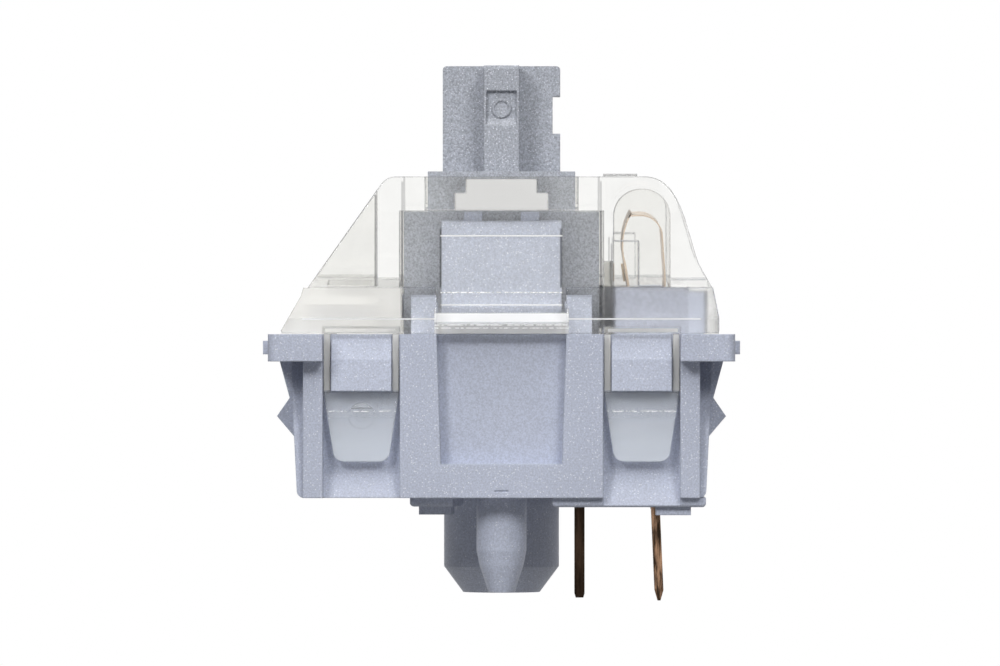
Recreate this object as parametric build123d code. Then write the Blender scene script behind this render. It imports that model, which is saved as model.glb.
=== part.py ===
from build123d import *
from math import atan, degrees
import os

# A board-mount keyboard switch with a cross-shaped stem and a clear cover.
# Millimetres. The origin is on the axis of the centre post, in the plane of the
# circuit board that the stand-off pads rest on. +Z is up, +Y points to the contact
# pins, and the two leg loops of the cover sit on the +X and -X faces.

# Heights, each counted up from the one before it, starting at the circuit board
PAD_HEIGHT = 0.27            # stand-off pads under the foot plates
FOOT_THICKNESS = 0.31        # foot plates under the housing
FLOOR_THICKNESS = 0.74       # floor of the housing
BODY_HEIGHT = 4.57           # from the housing's lower edge to the flange
FLANGE_THICKNESS = 0.91      # flange that rests on the mounting plate
PARTING_GAP = 0.02           # hairline between the housing and the cover
BAND_HEIGHT = 1.54           # lower band of the cover
UPPER_HEIGHT = 3.74          # cover above its band
ROOF_THICKNESS = 1.15        # roof of the cover

# Housing, seen from above
FLANGE_SIZE = 15.6
FACE_STEP = 0.80             # flange beyond each ribbed face
END_STEP = 0.73              # flange beyond each Y face
BODY_DRAFT = 0.23            # how much each Y face leans in at the lower edge
BODY_EDGE_RADIUS = 0.25
FLANGE_CORNER_RADIUS = 0.30
FACE_WALL = 1.70             # between a ribbed face and the inside
END_WALL = 0.85              # between a Y face and the inside
NUB_LENGTH = 0.32
NUB_WIDTH = 1.8
NUB_HEIGHT = 0.46

# Ribbed faces of the housing
CORNER_POCKET_WIDTH = 0.43   # shaded step beside the outer ribs
CORNER_POCKET_DEPTH = 1.8    # under the flange
CORNER_STEP = 0.40           # half way down
CORNER_TOE = 0.20            # at the lower edge
OUTER_RIB_WIDTH = 0.66
LEG_POCKET_WIDTH = 2.58      # room for one leg loop of the cover
LEG_POCKET_DEPTH = 0.80
POCKET_RAMP_HEIGHT = 0.80
POCKET_RAMP_DEPTH = 0.55
PANEL_TOP_WIDTH = 4.34       # sunk panel in the middle of the face
PANEL_BOTTOM_WIDTH = 4.06
PANEL_DEPTH = 0.60
SILL_HEIGHT = 1.13           # face left standing below the sunk panel
MARK_LENGTH = 0.46           # shallow mark in the sill
MARK_HEIGHT = 0.05
MARK_DEPTH = 0.03
MARK_RISE = 0.20

# Catch wedges that the leg loops snap over
CATCH_HEIGHT = 1.91
CATCH_PROUD = 0.76
CATCH_TOP_DEPTH = 0.22
CATCH_SHOULDER_DROP = 0.85
CATCH_SHOULDER_PROUD = 0.62

# Barbs that hold the switch in a mounting plate
PLATE_THICKNESS = 1.5
BARB_WIDTH = 3.8
BARB_ROOT = 0.46             # gusset under the flange
BARB_WAIST = 0.12
BARB_PROUD = 0.55
BARB_SLACK = 0.25            # waist of the barb below the plate's top face
BARB_RISE = 0.62
BARB_FALL = 0.92

# Feet, post and legs that meet the circuit board
NORTH_FOOT_START = 1.70
NORTH_FOOT_INSET = 0.25      # from each ribbed face
SOUTH_FOOT_WIDTH = 1.79
SOUTH_FOOT_CENTRE = 2.18
SOUTH_FOOT_DEPTH = 2.0
FOOT_OFFSET = 4.6            # middle of the south feet, from the post
FOOT_EDGE_RADIUS = 0.14
FOOT_RELIEF = 0.86           # foot plates cut back round the post and the legs
PAD_INSET = 0.30
PAD_DEPTH = 1.4
NORTH_PAD_WIDTH = 1.17
NORTH_PAD_INSET = 0.50
POST_RADIUS = 1.96
POST_LENGTH = 2.73
POST_TAPER = 0.88
POST_TIP_RADIUS = 1.31
LEG_SPACING = 10.16
LEG_RADIUS = 0.84
LEG_LENGTH = 2.62
LEG_ROUND = 0.52
LEG_ROUND_RADIUS = 0.735
LEG_TAPER = 0.90
LEG_TIP_RADIUS = 0.435

# Stem
TRAVEL = 4.0
STEM_DEPTH = 6.8             # along X
STEM_WIDTH = 6.6             # along Y
STEM_FLOOR_GAP = 0.60        # left under the skirt when fully pressed
SHOULDER_GAP = 0.10          # under the roof at rest
NECK_WIDTH = 4.98
NECK_RISE = 0.20             # how far the neck stands above the roof
CROSS_HEIGHT = 3.63
CROSS_LENGTH = 4.0
CROSS_ARM_X = 1.20           # thickness of the arm that runs along X
CROSS_ARM_Y = 1.30           # thickness of the arm that runs along Y
CROSS_CORNER_RADIUS = 0.14
NOTCH_DEPTH = 0.26           # notch in the outer edge of one arm
NOTCH_HEIGHT = 1.27
NOTCH_DROP = 1.03
DENT_DEPTH = 0.16            # sunk panel in the end of the near arm
DENT_WIDTH = 1.02
DENT_HEIGHT = 1.18
DENT_RAMP = 0.25             # sloped lower end of the sunk panel
DENT_DROP = 0.87
GATE_RADIUS = 0.33           # round moulding gate mark in that panel
GATE_HEIGHT = 0.06
GATE_DROP = 1.46
GATE_DISH_RADIUS = 0.24      # sunk middle of that mark
GATE_DISH_DEPTH = 0.04
RAIL_DEPTH = 0.70
RAIL_WIDTH = 1.10
WELL_RADIUS = 2.35           # room for the spring
WELL_CEILING = 0.45          # stem left between the well and the shoulder
POLE_RADIUS = 0.95
POLE_GAP = 0.08              # running clearance in the tube
POLE_OVERLAP = 1.0           # how far the pole enters the tube at rest
CAM_SPREAD = 3.4             # between the middles of the two cam legs
CAM_WIDTH = 0.80
CAM_HEIGHT = 1.20
CAM_DROP = 2.65              # shoulder to the top of the cam legs
CAM_SLOPE = 0.45
CAM_GAP = 0.05               # between the cam legs and the leaf at rest

# Guide towers and tube in the housing
SLIDE_GAP = 0.15
RAIL_GAP = 0.10
TOWER_SET_IN = 0.40          # outer face of the towers, in from the wall
TOWER_WIDTH = 4.04
TOWER_GAP = 0.37             # between the towers and the roof
PRONG_WIDTH = 0.62
PRONG_HEIGHT = 0.30
SIDE_POST_WIDTH = 0.90
SIDE_POST_GAP = 0.12
SIDE_POST_THICKNESS = 0.50
SIDE_POST_RISE = 1.10
TUBE_WALL = 0.45
TUBE_HEIGHT = 2.10
BORE_FLOOR_GAP = 0.30

# Cover
OPENING_GAP = 0.11
COVER_BAND_LEAN = 0.25
COVER_BAND_STEP = 0.52       # straight lower part of the band
COVER_SET_BACK = 1.50        # upper part behind each ribbed face, at its foot
COVER_LEAN = 0.30            # how much each of its faces leans in up to the top
COVER_EDGE_RADIUS = 0.60
SOUTH_FOOT_INSET = 0.45      # its outline, each point in from the flange's edge
SOUTH_BULGE_INSET = 0.42
SOUTH_BULGE_RISE = 0.10
SOUTH_STEP_INSET = 1.08
SOUTH_STEP_DROP = 0.29
SOUTH_SHELF_INSET = 1.17
SOUTH_SLOPE_INSET = 1.29
SOUTH_TOP_INSET = 3.93
NORTH_BASE_INSET = 0.54
NORTH_BULGE_INSET = 0.52
NORTH_SHELF_INSET = 0.72
NORTH_TOP_INSET = 3.03
SHOULDER_REACH = 0.42        # north curve: shares of its reach out and its fall
SHOULDER_FALL = 0.137
WAIST_REACH = 0.66
WAIST_FALL = 0.49
FLARE_REACH = 0.79
FLARE_FALL = 0.76
NORTH_END_SLOPE = 1.8
TOWER_SIDE_GAP = 0.10
SOUTH_WALL = 0.72
PARTITION = 0.30
SHELL = 0.90                 # wall of the band round its hollow
BAND_ROOF = 0.63             # roof of that hollow
LOOP_BEVEL = 0.24            # bevel under the band, over each leg loop
FIN_THICKNESS = 0.85
CONTACT_ROOM_WIDTH = 1.94
CONTACT_ROOM_SIDE = 0.70     # between the room and the housing's wall
CONTACT_ROOM_ROOF = 0.42
CONTACT_ROOM_RADIUS = 0.93
COVER_RIB_WIDTH = 0.86
COVER_RIB_RISE = 1.55
COVER_RIB_THICKNESS = 0.60
NOTCH_SHELF_LOW = 0.29
NOTCH_SHELF_HIGH = 0.67
RAMP_WIDTH = 3.14            # ramp up to the opening, under the roof over each rail slot
RAMP_TOP_WIDTH = 2.40
RAMP_STEP = 0.57             # height at which the ramp narrows
RAMP_LAND = 0.10             # straight edge left above the ramp
LAMP_SLOT_DEPTH = 5.2
LAMP_SLOT_WIDTH = 1.5
LAMP_SLOT_OFFSET = 0.25
NAME_PAD_HEIGHT = 0.14
NAME_PAD_WIDTH = 1.15
NAME_PAD_DEPTH = 4.6

# Leg loops of the cover
LOOP_GAP = 0.03
LOOP_STRIP = 0.22
LOOP_THICKNESS = 0.42
LOOP_BACK_GAP = 0.06
TONGUE_LENGTH = 2.35
TONGUE_BEND = 0.61
TONGUE_BEND_DEPTH = 0.16
TONGUE_TAPER = 0.14
TONGUE_RADIUS = 0.36
SOUTH_GATE_RADIUS = 0.44
NORTH_GATE_RADIUS = 0.12
GATE_RISE = 0.03
GATE_BELOW_BEND = 0.17
GATE_CORE_SHARE = 0.45       # raised middle of each gate mark

# Spring
SPRING_RADIUS = 1.95         # to the middle of the wire
SPRING_WIRE = 0.19
SPRING_COILS = 13

# Contacts
BLADE_THICKNESS = 0.30
PIN_WIDTH = 0.80
PIN_CORNER = 0.14            # blunt end of the fixed pin
PIN_POINT = 0.35             # pointed end of the moving pin
PIN_BLUNTNESS = 0.75         # width left at each end, as shares of the thickness
PIN_SHARPNESS = 0.33
PIN_HOLE_GAP = 0.05
FIXED_PIN_X = -3.81
FIXED_PIN_Y = 2.69
FIXED_PIN_THICKNESS = 0.35
FIXED_PIN_LENGTH = 3.02      # below the circuit board's top face
FIXED_BLADE_GAP = 0.16       # between the stem and the blade
FIXED_BLADE_WIDTH = 1.80
FIXED_BLADE_RISE = 0.75      # above the cover's band
FIXED_FOOT_HEIGHT = 0.80
MOVING_PIN_X = 2.54
MOVING_PIN_Y = 5.16
MOVING_PIN_LEAN = 0.17
MOVING_PIN_LENGTH = 2.95
MOVING_BLADE_START = -2.40
MOVING_BLADE_DROP = 0.20     # top of the blade below the cover's band
LEAF_THICKNESS = 0.08
LEAF_WIDTH = 4.40
LEAF_FREE_DROP = 1.12        # free end below the cover's band
LEAF_FREE_GAP = 0.68         # free end from the fixed blade
LEAF_KNEE_RISE = 1.81
LEAF_KNEE_GAP = 0.25
LEAF_FOLD_RISE = 2.58
LEAF_FOLD_GAP = 0.66
LEAF_ARC_GAP = 1.08
LEAF_BACK_LEAN = 0.12
LEAF_FOLD_FALL = 0.04
LEAF_FREE_RISE = 0.50        # free length above the weld before the leaf starts to lean
LEAF_WELD = 1.60
LEAF_KNEE_RADIUS = 2.3
LEAF_FOLD_RADIUS = 0.12
LEAF_ARC_RADIUS = 0.60
CONTACT_SIZE = 0.60
CONTACT_THICKNESS = 0.08
CONTACT_RISE = 0.35
BLOCK_INSET = 0.10
BLOCK_GAP = 0.15
BLOCK_DROP = 0.25
LIP_THICKNESS = 0.60
LIP_RISE = 1.20

# Levels that follow
foot_z = PAD_HEIGHT
skirt_z = foot_z + FOOT_THICKNESS
floor_z = skirt_z + FLOOR_THICKNESS
flange_z = skirt_z + BODY_HEIGHT
parting_z = flange_z + FLANGE_THICKNESS
cover_z = parting_z + PARTING_GAP
shelf_z = cover_z + BAND_HEIGHT
roof_z = shelf_z + UPPER_HEIGHT
ceiling_z = roof_z - ROOF_THICKNESS
shoulder_z = ceiling_z - SHOULDER_GAP
stem_z = floor_z + TRAVEL + STEM_FLOOR_GAP
neck_z = roof_z + NECK_RISE
cross_z = neck_z + CROSS_HEIGHT
well_z = shoulder_z - WELL_CEILING
tube_z = floor_z + TUBE_HEIGHT
pole_z = tube_z - POLE_OVERLAP
bore_z = pole_z - TRAVEL - BORE_FLOOR_GAP
tower_z = ceiling_z - TOWER_GAP
cam_top_z = shoulder_z - CAM_DROP
catch_z = parting_z - CATCH_HEIGHT

# Half widths and faces that follow
flange_half = FLANGE_SIZE / 2
face_x = flange_half - FACE_STEP
pocket_x = face_x - LEG_POCKET_DEPTH
panel_x = face_x - PANEL_DEPTH
body_y = flange_half - END_STEP
cavity_x = face_x - FACE_WALL
cavity_y = body_y - END_WALL
body_low_y = body_y - BODY_DRAFT
outer_rib_y = body_y - CORNER_POCKET_WIDTH
leg_pocket_y = outer_rib_y - OUTER_RIB_WIDTH
inner_rib_y = leg_pocket_y - LEG_POCKET_WIDTH
panel_top_y = PANEL_TOP_WIDTH / 2
panel_low_y = PANEL_BOTTOM_WIDTH / 2
stem_x = STEM_DEPTH / 2
stem_y = STEM_WIDTH / 2
neck_y = NECK_WIDTH / 2
tower_x = stem_x + SLIDE_GAP
tower_face_x = cavity_x - TOWER_SET_IN
tower_y = TOWER_WIDTH / 2
chamber_x = tower_face_x + TOWER_SIDE_GAP
chamber_y = stem_y + SLIDE_GAP
rail_x = stem_x + RAIL_DEPTH
room_south_y = chamber_y + PARTITION
room_north_y = room_south_y + CONTACT_ROOM_WIDTH
room_x = cavity_x - CONTACT_ROOM_SIDE
blade_y = stem_y + FIXED_BLADE_GAP
blade_north_y = blade_y + BLADE_THICKNESS
block_start_y = blade_north_y + PIN_HOLE_GAP
leaf_free_y = blade_north_y + LEAF_FREE_GAP
leaf_knee_y = blade_north_y + LEAF_KNEE_GAP
leaf_fold_y = blade_north_y + LEAF_FOLD_GAP
leaf_arc_y = leaf_fold_y + LEAF_ARC_GAP
leaf_free_z = shelf_z - LEAF_FREE_DROP
leaf_knee_z = shelf_z + LEAF_KNEE_RISE
leaf_slope = (leaf_free_y - leaf_knee_y) / (leaf_knee_z - leaf_free_z)
leaf_back_y = leaf_arc_y + LEAF_THICKNESS
moving_blade_y = leaf_back_y
moving_blade_z = shelf_z - MOVING_BLADE_DROP
pin_half = PIN_WIDTH / 2
catch_face_x = pocket_x + CATCH_PROUD
cover_neck_x = face_x - COVER_SET_BACK
cover_top_x = cover_neck_x - COVER_LEAN
south_foot_y = flange_half - SOUTH_FOOT_INSET
south_bulge_y = flange_half - SOUTH_BULGE_INSET
south_step_y = flange_half - SOUTH_STEP_INSET
south_shelf_y = flange_half - SOUTH_SHELF_INSET
south_slope_y = flange_half - SOUTH_SLOPE_INSET
south_top_y = flange_half - SOUTH_TOP_INSET
north_foot_y = flange_half - NORTH_BASE_INSET
north_bulge_y = flange_half - NORTH_BULGE_INSET
north_shelf_y = flange_half - NORTH_SHELF_INSET
north_top_y = flange_half - NORTH_TOP_INSET
top_of_all = cross_z + 1


def block(x_low, x_high, y_low, y_high, z_low, z_high):
    """A plain block between two limits along each axis."""
    middle = ((x_low + x_high) / 2, (y_low + y_high) / 2, (z_low + z_high) / 2)
    return Pos(*middle) * Box(x_high - x_low, y_high - y_low, z_high - z_low)


def slab(half_x, half_y, z_low, z_high):
    """A block centred on the post's axis."""
    return block(-half_x, half_x, -half_y, half_y, z_low, z_high)


def along_x(outline, x_low, x_high):
    """Extrude an outline drawn in Y and Z between two limits along X."""
    placed = Plane.YZ.offset(x_low) * outline
    return extrude(placed, amount=x_high - x_low, dir=(1, 0, 0))


def along_y(outline, y_low, y_high):
    """Extrude an outline drawn in X and Z between two limits along Y."""
    placed = Plane.XZ.offset(-y_low) * outline
    return extrude(placed, amount=y_high - y_low, dir=(0, 1, 0))


def polygon(*points):
    """A flat outline with straight sides."""
    return make_face(Polyline(*points, close=True))


def upright(radius, z_low, z_high, x=0, y=0):
    """A cylinder that stands between two heights."""
    return Pos(x, y, (z_low + z_high) / 2) * Cylinder(radius, z_high - z_low)


def tapered(radius_low, radius_high, z_low, z_high, x=0, y=0):
    """A cone frustum that stands between two heights."""
    return Pos(x, y, (z_low + z_high) / 2) * Cone(radius_low, radius_high, z_high - z_low)


def both_faces(shape):
    """A shape on the +X side and its mirror image on the -X side."""
    return shape + mirror(shape, about=Plane.YZ)


def leg_pockets():
    """The Y limits of the two pockets that take the cover's leg loops."""
    return [(-leg_pocket_y, -inner_rib_y), (inner_rib_y, leg_pocket_y)]


def housing_body():
    """The drafted body with its flange, before any recess."""
    outline = polygon(
        (-body_y, flange_z), (-body_low_y, skirt_z), (body_low_y, skirt_z), (body_y, flange_z)
    )
    body = along_x(outline, -face_x, face_x)
    low_edges = body.edges().filter_by(Axis.X).group_by(Axis.Z)[0]
    body = fillet(low_edges, BODY_EDGE_RADIUS)
    flange = slab(flange_half, flange_half, flange_z, parting_z)
    flange = fillet(flange.edges().filter_by(Axis.Z), FLANGE_CORNER_RADIUS)
    nub_z = (flange_z + parting_z) / 2
    nub = slab(
        NUB_WIDTH / 2, flange_half + NUB_LENGTH, nub_z - NUB_HEIGHT / 2, nub_z + NUB_HEIGHT / 2
    )
    return body + flange + nub


def face_recesses():
    """Everything that is cut out of the two ribbed faces."""
    beyond_x = flange_half + FLANGE_CORNER_RADIUS
    below_z = skirt_z - FOOT_THICKNESS
    cuts = block(face_x, beyond_x, -leg_pocket_y, leg_pocket_y, flange_z, parting_z)
    ramp = polygon(
        (pocket_x, parting_z),
        (pocket_x, skirt_z + POCKET_RAMP_HEIGHT),
        (pocket_x + POCKET_RAMP_DEPTH, below_z),
        (beyond_x, below_z),
        (beyond_x, parting_z),
    )
    for low, high in leg_pockets():
        cuts += along_y(ramp, low, high)
    corner = polygon(
        (face_x - CORNER_POCKET_DEPTH, flange_z),
        (face_x - CORNER_STEP, (flange_z + skirt_z) / 2),
        (face_x - CORNER_TOE, below_z),
        (beyond_x, below_z),
        (beyond_x, flange_z),
    )
    cuts += along_y(corner, outer_rib_y, body_y)
    cuts += along_y(corner, -body_y, -outer_rib_y)
    panel = polygon(
        (-panel_top_y, parting_z),
        (-panel_low_y, skirt_z + SILL_HEIGHT),
        (panel_low_y, skirt_z + SILL_HEIGHT),
        (panel_top_y, parting_z),
    )
    cuts += along_x(panel, panel_x, beyond_x)
    mark_z = skirt_z + MARK_RISE
    cuts += block(
        face_x - MARK_DEPTH, beyond_x, -MARK_LENGTH / 2, MARK_LENGTH / 2, mark_z, mark_z + MARK_HEIGHT
    )
    return both_faces(cuts)


def catches():
    """Wedges in the leg pockets, with a flat ledge underneath."""
    outline = polygon(
        (pocket_x, parting_z),
        (pocket_x + CATCH_TOP_DEPTH, parting_z),
        (pocket_x + CATCH_SHOULDER_PROUD, parting_z - CATCH_SHOULDER_DROP),
        (catch_face_x, catch_z),
        (pocket_x, catch_z),
    )
    side = LOOP_STRIP + 2 * LOOP_GAP
    wedges = [along_y(outline, low + side, high - side) for low, high in leg_pockets()]
    return both_faces(wedges[0] + wedges[1])


def plate_barbs():
    """Gusset and barb on each Y face, which hold the switch in a plate."""
    hook_z = flange_z - PLATE_THICKNESS + BARB_SLACK
    outline = polygon(
        (0, flange_z),
        (body_y + BARB_ROOT, flange_z),
        (body_y + BARB_WAIST, hook_z),
        (body_y + BARB_PROUD, hook_z - BARB_RISE),
        (body_y - BODY_DRAFT, hook_z - BARB_RISE - BARB_FALL),
        (0, hook_z - BARB_RISE - BARB_FALL),
    )
    barb = along_x(outline, -BARB_WIDTH / 2, BARB_WIDTH / 2)
    return barb + mirror(barb, about=Plane.XZ)


def foot_plate(x_low, x_high, y_low, y_high):
    """One foot plate with rounded lower edges."""
    plate = block(x_low, x_high, y_low, y_high, foot_z, skirt_z)
    return fillet(plate.edges().group_by(Axis.Z)[0], FOOT_EDGE_RADIUS)


def feet():
    """Foot plates and stand-off pads under the housing."""
    half_depth = face_x - NORTH_FOOT_INSET
    north_end = body_low_y
    plates = foot_plate(-half_depth, half_depth, NORTH_FOOT_START, north_end)
    north_pad_y = north_end - NORTH_PAD_INSET
    pad_x = half_depth - PAD_INSET
    south_low = -SOUTH_FOOT_CENTRE - SOUTH_FOOT_WIDTH / 2
    south_high = -SOUTH_FOOT_CENTRE + SOUTH_FOOT_WIDTH / 2
    foot_low = FOOT_OFFSET - SOUTH_FOOT_DEPTH / 2
    foot_high = FOOT_OFFSET + SOUTH_FOOT_DEPTH / 2
    pads = block(
        foot_low + PAD_INSET,
        foot_high - PAD_INSET,
        south_low + PAD_INSET,
        south_high - PAD_INSET,
        0,
        skirt_z,
    )
    pads += block(pad_x - PAD_DEPTH, pad_x, north_pad_y - NORTH_PAD_WIDTH, north_pad_y, 0, skirt_z)
    parts = plates + both_faces(foot_plate(foot_low, foot_high, south_low, south_high) + pads)
    parts -= upright(POST_RADIUS + FOOT_RELIEF, 0, skirt_z)
    for x in (-LEG_SPACING / 2, LEG_SPACING / 2):
        parts -= upright(LEG_RADIUS + FOOT_RELIEF, 0, skirt_z, x=x)
    return parts


def board_post():
    """The thick centre post, tapered at its end."""
    taper_z = -POST_LENGTH + POST_TAPER
    post = upright(POST_RADIUS, taper_z, floor_z)
    return post + tapered(POST_TIP_RADIUS, POST_RADIUS, -POST_LENGTH, taper_z)


def board_leg(x):
    """One thin fixing leg, with a rounded shoulder and a long taper."""
    taper_z = -LEG_LENGTH + LEG_TAPER
    round_z = taper_z + LEG_ROUND
    leg = upright(LEG_RADIUS, round_z, floor_z, x=x)
    leg += tapered(LEG_ROUND_RADIUS, LEG_RADIUS, taper_z, round_z, x=x)
    return leg + tapered(LEG_TIP_RADIUS, LEG_ROUND_RADIUS, -LEG_LENGTH, taper_z, x=x)


def guide_tower():
    """One guide tower with its rail slot, prongs and side posts, on the +X side."""
    tower = block(tower_x, tower_face_x, -tower_y, tower_y, floor_z, tower_z)
    tower += block(tower_x, cavity_x, -tower_y, tower_y, floor_z, parting_z)
    slot_x = rail_x + RAIL_GAP
    slot_y = RAIL_WIDTH / 2 + RAIL_GAP
    prong = block(tower_x, slot_x, slot_y, slot_y + PRONG_WIDTH, tower_z, tower_z + PRONG_HEIGHT)
    tower += prong + mirror(prong, about=Plane.XZ)
    tower -= block(tower_x, slot_x, -slot_y, slot_y, floor_z, top_of_all)
    side_low = tower_y + SIDE_POST_GAP
    side_high = side_low + SIDE_POST_WIDTH
    side_x = tower_face_x - SIDE_POST_THICKNESS
    post = block(side_x, tower_face_x, side_low, side_high, floor_z, parting_z + SIDE_POST_RISE)
    post += block(side_x, cavity_x, side_low, side_high, floor_z, parting_z)
    return tower + post + mirror(post, about=Plane.XZ)


def contact_blocks():
    """Blocks and lip round the contacts, at the north end of the housing."""
    block_z = shelf_z - BLOCK_DROP
    inner_x = MOVING_PIN_X + pin_half + BLOCK_GAP
    outer_x = room_x - BLOCK_INSET
    wall = block(inner_x, outer_x, block_start_y, cavity_y, floor_z, block_z)
    wall += block(inner_x, cavity_x, block_start_y, cavity_y, floor_z, parting_z)
    lip = slab(outer_x, cavity_y + LIP_THICKNESS, parting_z, parting_z + LIP_RISE)
    lip -= slab(face_x, cavity_y, parting_z, top_of_all)
    lip -= block(-face_x, face_x, -body_y, 0, parting_z, top_of_all)
    return both_faces(wall) + lip


def lamp_slot(z_low, z_high):
    """The slot that a lamp under the key shines through."""
    slot_high = -chamber_y - SOUTH_WALL - LAMP_SLOT_OFFSET
    half = LAMP_SLOT_DEPTH / 2
    return block(-half, half, slot_high - LAMP_SLOT_WIDTH, slot_high, z_low, z_high)


def pin_hole(x, y, thickness, y_spread=0):
    """A slot in the housing's floor for one contact pin."""
    half_x = pin_half + PIN_HOLE_GAP
    half_y = thickness / 2 + PIN_HOLE_GAP
    return block(x - half_x, x + half_x, y - half_y, y + half_y + y_spread, 0, floor_z)


def bottom_housing():
    """The moulded housing with its post, legs, towers and contact blocks."""
    housing = housing_body() + plate_barbs() + feet()
    housing -= face_recesses()
    housing += catches()
    housing -= slab(cavity_x, cavity_y, floor_z, top_of_all)
    south_wall = block(
        -cavity_x, cavity_x, -chamber_y - SOUTH_WALL, -chamber_y, floor_z, parting_z
    )
    housing += south_wall + both_faces(guide_tower()) + contact_blocks()
    housing += board_post() + upright(POLE_RADIUS + POLE_GAP + TUBE_WALL, skirt_z, tube_z)
    for x in (-LEG_SPACING / 2, LEG_SPACING / 2):
        housing += board_leg(x)
    housing -= upright(POLE_RADIUS + POLE_GAP, bore_z, tube_z)
    housing -= lamp_slot(0, floor_z)
    housing -= pin_hole(FIXED_PIN_X, FIXED_PIN_Y, FIXED_PIN_THICKNESS)
    housing -= pin_hole(MOVING_PIN_X, MOVING_PIN_Y, BLADE_THICKNESS, MOVING_PIN_LEAN)
    return housing


def cover_band():
    """The lower band of the cover, with its sloped skirts."""
    side = polygon(
        (-south_foot_y, cover_z),
        (-south_bulge_y, cover_z + SOUTH_BULGE_RISE),
        (-south_step_y, shelf_z - SOUTH_STEP_DROP),
        (-south_shelf_y, shelf_z),
        (north_shelf_y, shelf_z),
        (north_bulge_y, cover_z + COVER_BAND_STEP),
        (north_bulge_y, cover_z + SOUTH_BULGE_RISE),
        (north_foot_y, cover_z),
    )
    half = face_x
    front = polygon(
        (-half, cover_z),
        (-half, cover_z + COVER_BAND_STEP),
        (-half + COVER_BAND_LEAN, shelf_z),
        (half - COVER_BAND_LEAN, shelf_z),
        (half, cover_z + COVER_BAND_STEP),
        (half, cover_z),
    )
    band = along_x(side, -half, half)
    return band & along_y(front, -south_bulge_y, north_bulge_y)


def cover_upper():
    """The upper part of the cover: a straight slope at the lamp, a soft curve at the contacts."""
    south_foot = (-south_slope_y, shelf_z)
    south_top = (-south_top_y, roof_z)
    north_top = (north_top_y, roof_z)
    north_foot = (north_shelf_y, shelf_z)
    reach = north_shelf_y - north_top_y
    drop = roof_z - shelf_z
    shoulder = (north_top_y + reach * SHOULDER_REACH, roof_z - drop * SHOULDER_FALL)
    waist = (north_top_y + reach * WAIST_REACH, roof_z - drop * WAIST_FALL)
    flare = (north_top_y + reach * FLARE_REACH, roof_z - drop * FLARE_FALL)
    ends = [(1, 0), (1, -NORTH_END_SLOPE)]
    curve = Spline(north_top, shoulder, waist, flare, north_foot, tangents=ends)
    side = make_face(
        [Line(south_foot, south_top), Line(south_top, north_top), curve, Line(north_foot, south_foot)]
    )
    half_low = cover_neck_x
    half_high = cover_top_x
    front = polygon(
        (-half_low, shelf_z), (-half_high, roof_z), (half_high, roof_z), (half_low, shelf_z)
    )
    upper = along_x(side, -half_low, half_low) & along_y(front, -south_slope_y, north_shelf_y)
    south_edge = upper.edges().filter_by(Axis.X).group_by(Axis.Z)[-1].sort_by(Axis.Y)[0]
    return fillet(south_edge, COVER_EDGE_RADIUS)


def contact_room():
    """The room over the contacts, with a rounded ceiling."""
    low = room_south_y
    high = room_north_y
    top = roof_z - CONTACT_ROOM_ROOF
    room = block(-room_x, room_x, low, high, cover_z, top)
    room = fillet(room.edges().filter_by(Axis.X).group_by(Axis.Z)[-1], CONTACT_ROOM_RADIUS)
    wide = block(-room_x, room_x, low, cavity_y + BLOCK_INSET, cover_z, shelf_z - BLOCK_DROP / 2)
    lip_y = cavity_y + LIP_THICKNESS + BLOCK_INSET
    wide += block(-room_x, room_x, low, lip_y, cover_z, parting_z + LIP_RISE + BLOCK_INSET)
    return room + wide


def opening_ramps():
    """The ramps up to the opening, in the underside of the roof on the two ribbed sides."""
    opening_x = stem_x + OPENING_GAP
    rise = ROOF_THICKNESS - RAMP_LAND
    foot = opening_x + rise
    narrow = polygon(
        (stem_x, tower_z),
        (foot, tower_z),
        (foot, ceiling_z),
        (opening_x, ceiling_z + rise),
        (stem_x, ceiling_z + rise),
    )
    wide = polygon(
        (stem_x, tower_z),
        (foot, tower_z),
        (foot, ceiling_z),
        (foot - RAMP_STEP, ceiling_z + RAMP_STEP),
        (stem_x, ceiling_z + RAMP_STEP),
    )
    ramps = along_y(narrow, -RAMP_TOP_WIDTH / 2, RAMP_TOP_WIDTH / 2)
    ramps += along_y(wide, -RAMP_WIDTH / 2, RAMP_WIDTH / 2)
    return both_faces(ramps)


def cover_hollows():
    """Everything that is cut out of the cover, apart from the windows of its legs."""
    hollows = slab(chamber_x, chamber_y, cover_z, ceiling_z)
    inner_x = face_x - SHELL
    inner_south = south_bulge_y - SHELL
    low_roof = shelf_z - BAND_ROOF
    south_end = -chamber_y - SOUTH_WALL
    hollows += block(-inner_x, inner_x, -inner_south, south_end, cover_z, low_roof)
    hollows += contact_room()
    opening_x = stem_x + OPENING_GAP
    opening_y = neck_y + OPENING_GAP
    hollows += slab(opening_x, opening_y, ceiling_z, top_of_all)
    hollows += opening_ramps()
    lamp_x = cover_top_x - FIN_THICKNESS
    hollows += block(-lamp_x, lamp_x, -south_bulge_y, south_end, shelf_z, top_of_all)
    hollows += lamp_slot(cover_z, shelf_z)
    slot_half = FIXED_BLADE_WIDTH / 2 + PIN_HOLE_GAP
    slot_top = shelf_z + FIXED_BLADE_RISE + PIN_HOLE_GAP
    hollows += block(-slot_half, slot_half, chamber_y, room_south_y, cover_z, slot_top)
    cam_half = CAM_SPREAD / 2 + CAM_WIDTH / 2 + RAIL_GAP
    hollows += block(
        -cam_half, cam_half, chamber_y, room_south_y, cover_z, cam_top_z + RAIL_GAP
    )
    return hollows


def face_notches():
    """The lower shelf in the middle of each ribbed side of the band."""
    half = face_x
    neck = cover_neck_x
    outline = polygon(
        (half, cover_z + NOTCH_SHELF_LOW),
        (neck, cover_z + NOTCH_SHELF_HIGH),
        (neck, shelf_z),
        (half, shelf_z),
    )
    return both_faces(along_y(outline, -panel_top_y, panel_top_y))


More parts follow.
